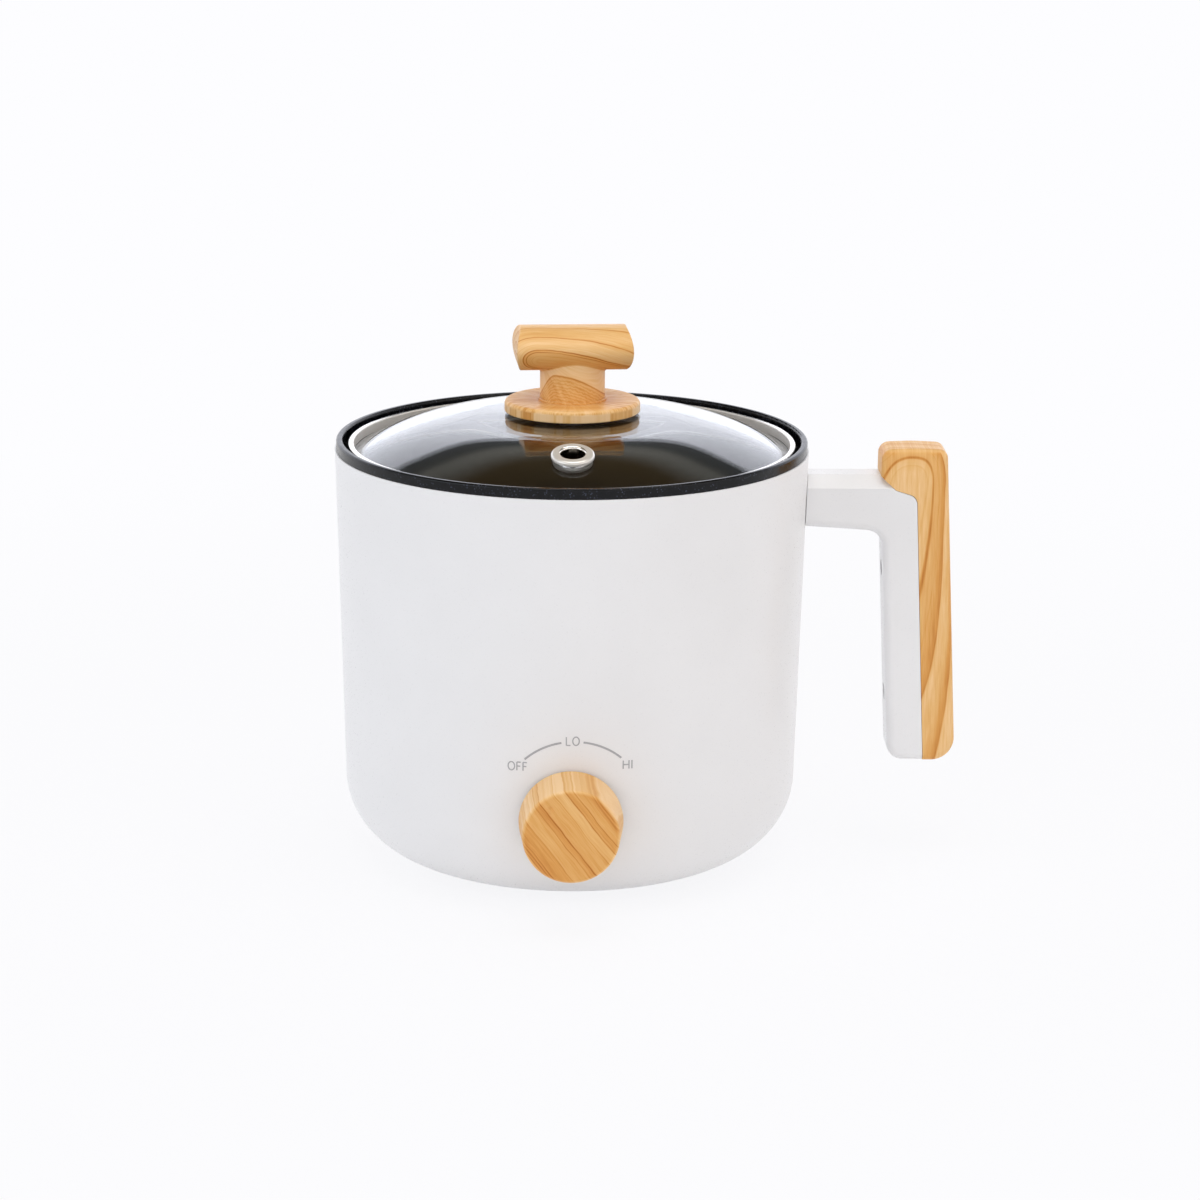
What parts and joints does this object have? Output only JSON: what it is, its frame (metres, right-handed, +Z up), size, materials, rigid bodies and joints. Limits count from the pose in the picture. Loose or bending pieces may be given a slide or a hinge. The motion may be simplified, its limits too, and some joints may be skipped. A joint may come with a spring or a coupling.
{
  "type": "multicooker",
  "caption": "Round electric multicooker: tapered body with sunk non-stick pot, lift-off glass dome lid with a T-shaped knob, a front dial and a two-part side handle.",
  "frame": {"origin": "on the pot's upright axis, in the plane that the three feet stand on", "axes": "+X from the pot's axis to the handle, -Y to the front dial, +Y to the power inlet, +Z up"},
  "size_m": [0.2309, 0.1906, 0.1994],
  "materials": {
    "white_plastic": "satin moulded",
    "base_plastic": "fine moulded grain",
    "nonstick": "speckled non-stick coat",
    "seal_rubber": "matt",
    "plate_aluminium": "cast",
    "element_steel": "dull oxide",
    "shield_steel": "zinc plated",
    "fixing_steel": "zinc plated",
    "terminal_brass": "bright",
    "thermostat_body": "moulded phenolic",
    "fuse_body": "matt ceramic",
    "foot_rubber": "matt",
    "switch_plastic": "moulded",
    "inlet_plastic": "moulded",
    "wood_dial": "satin wood-grain print",
    "wood_grip": "satin wood-grain print",
    "wood_disc": "satin wood-grain print",
    "wood_bar": "satin wood-grain print",
    "lid_clear": "tempered, clear",
    "bright_steel": "polished stainless",
    "pad_silicone": "matt silicone",
    "wire_brown": "insulated",
    "wire_blue": "insulated",
    "wire_white": "braided heat-proof sleeve",
    "wire_green": "insulated, striped",
    "legend_ink": "grey print on the shell"
  },
  "bodies": {
    "base": {"outer_shell": "white_plastic", "inner_pot": "nonstick", "rim_seal": "seal_rubber", "heating_plate": "plate_aluminium", "heating_element": "element_steel", "element_pins": "terminal_brass", "heat_shield": "shield_steel", "pot_studs": "fixing_steel", "stud_nuts": "fixing_steel", "thermostat": "thermostat_body", "thermostat_screws": "fixing_steel", "thermal_fuse": "fuse_body", "fuse_clip": "shield_steel", "base_plate": "base_plastic", "feet": "foot_rubber", "base_screws": "fixing_steel", "rotary_switch": "switch_plastic", "switch_nut": "fixing_steel", "switch_tabs": "terminal_brass", "power_inlet": "inlet_plastic", "inlet_pins": "terminal_brass", "inlet_screws": "fixing_steel", "handle_arm": "white_plastic", "handle_grip": "wood_grip", "grip_screws": "fixing_steel", "handle_bracket": "shield_steel", "handle_bolts": "fixing_steel", "earth_tag": "terminal_brass", "wire_line": "wire_brown", "wire_neutral": "wire_blue", "wire_switched": "wire_white", "wire_fuse": "wire_white", "wire_heater": "wire_white", "wire_earth": "wire_green"},
    "dial": {"control_knob": "wood_dial", "switch_shaft": "fixing_steel"},
    "lid": {"lid_glass": "lid_clear", "lid_band": "bright_steel", "vent_eyelet": "bright_steel", "lid_pad": "pad_silicone", "lid_knob_base": "wood_disc", "lid_knob_grip": "wood_bar", "knob_insert": "terminal_brass", "lid_washer": "fixing_steel", "lid_screw": "fixing_steel"}
  },
  "joints": [
    {"name": "lid_lift", "type": "slide", "parent": "base", "child": "lid", "axis": [0, 0, 1], "range_m": [0, 0.1]},
    {"name": "dial_turn", "type": "hinge", "parent": "base", "child": "dial", "pos_m": [0, -0.09, 0.0382], "axis": [0, 1, 0], "range_deg": [0, 90]}
  ]
}
